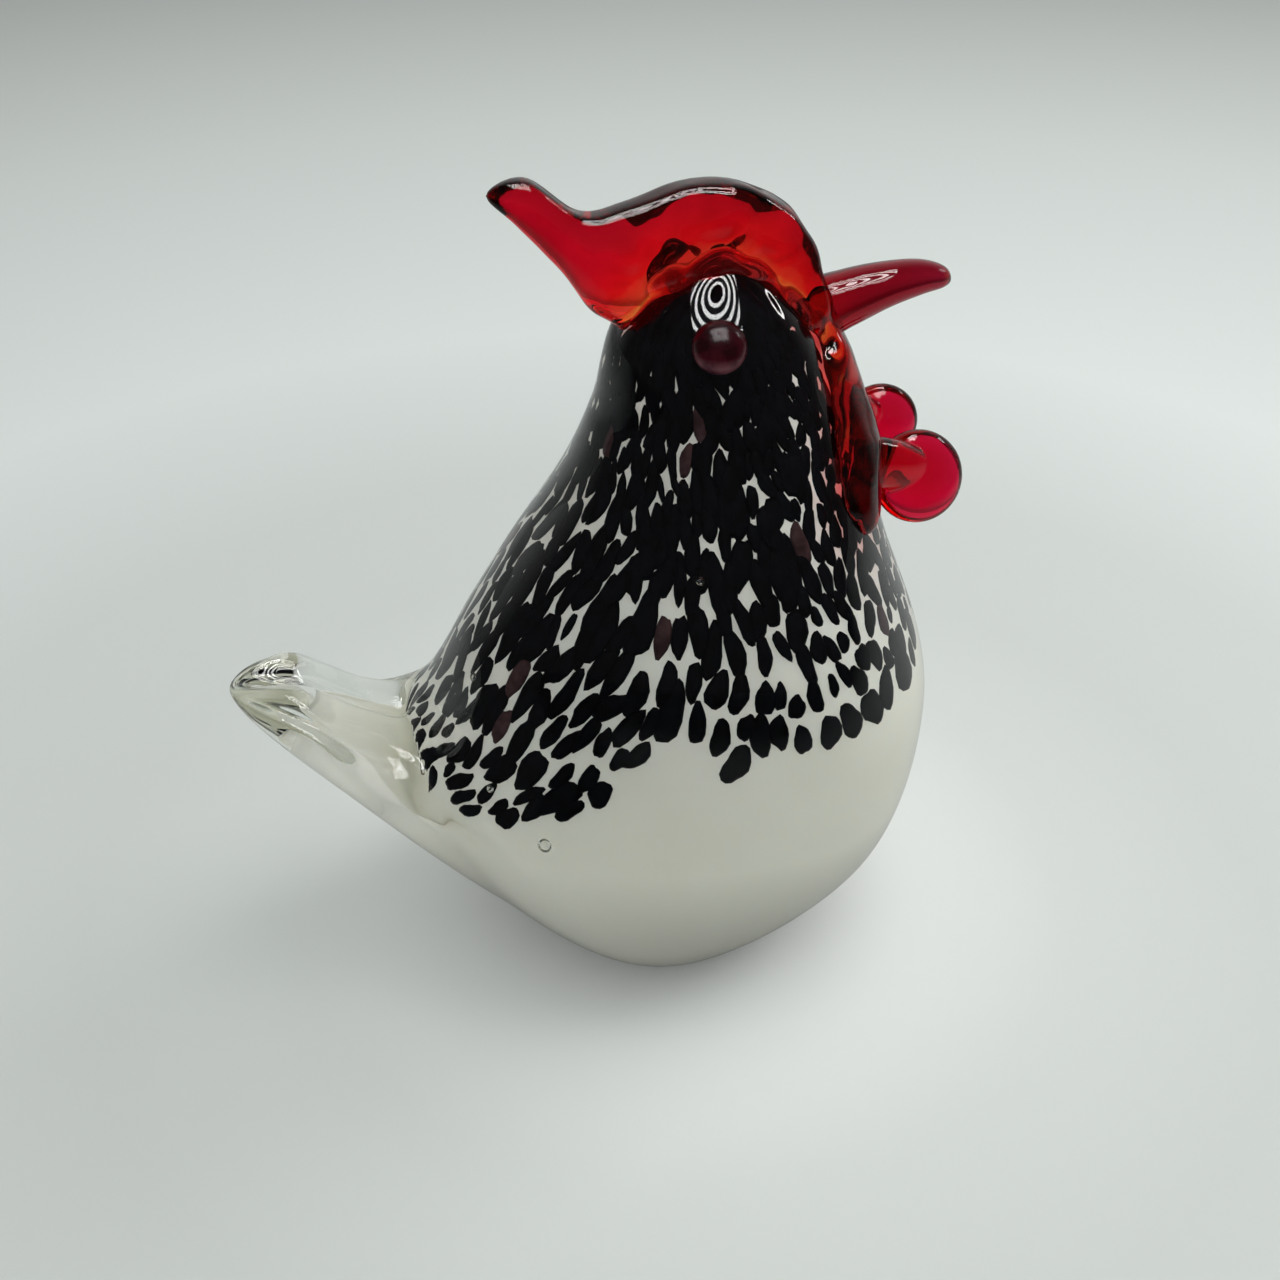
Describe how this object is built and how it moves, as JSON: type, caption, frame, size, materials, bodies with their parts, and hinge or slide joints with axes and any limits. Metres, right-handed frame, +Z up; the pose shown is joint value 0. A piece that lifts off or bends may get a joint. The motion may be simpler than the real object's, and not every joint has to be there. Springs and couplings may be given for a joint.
{
  "type": "glass chicken paperweight",
  "caption": "Solid glass chicken paperweight: white core under black flakes, cased in clear glass drawn out into a tail, with red comb, beak and wattles.",
  "frame": {"origin": "centre of the flat ground base, on the surface that the paperweight rests on", "axes": "+X forward, where the beak points, +Y the chicken's left, +Z up"},
  "size_m": [0.0991, 0.063, 0.1124],
  "materials": {
    "white_glass": "opal white, smooth under the casing",
    "clear_glass": "clear, fire polished",
    "black_glass": "crushed flakes, melted smooth",
    "red_glass": "transparent red, fire polished",
    "ruby_glass": "dark ruby bead, fire polished"
  },
  "bodies": {
    "root": {"white_core": "white_glass", "clear_casing": "clear_glass", "frit_mantle": "black_glass", "frit_flake_01": "black_glass", "frit_flake_02": "black_glass", "frit_flake_03": "black_glass", "frit_flake_04": "black_glass", "frit_flake_05": "black_glass", "frit_flake_06": "black_glass", "frit_flake_07": "black_glass", "frit_flake_08": "black_glass", "frit_flake_09": "black_glass", "frit_flake_10": "black_glass", "frit_flake_11": "black_glass", "frit_flake_12": "black_glass", "frit_flake_13": "black_glass", "frit_flake_14": "black_glass", "frit_flake_15": "black_glass", "frit_flake_16": "black_glass", "frit_flake_17": "black_glass", "frit_flake_18": "black_glass", "frit_flake_19": "black_glass", "frit_flake_20": "black_glass", "frit_flake_21": "black_glass", "frit_flake_22": "black_glass", "frit_flake_23": "black_glass", "frit_flake_24": "black_glass", "frit_flake_25": "black_glass", "frit_flake_26": "black_glass", "frit_flake_27": "black_glass", "frit_flake_28": "black_glass", "frit_flake_29": "black_glass", "frit_flake_30": "black_glass", "comb": "red_glass", "beak": "red_glass", "wattle_right": "red_glass", "wattle_left": "red_glass", "eye_right": "ruby_glass", "eye_left": "ruby_glass"}
  },
  "joints": []
}
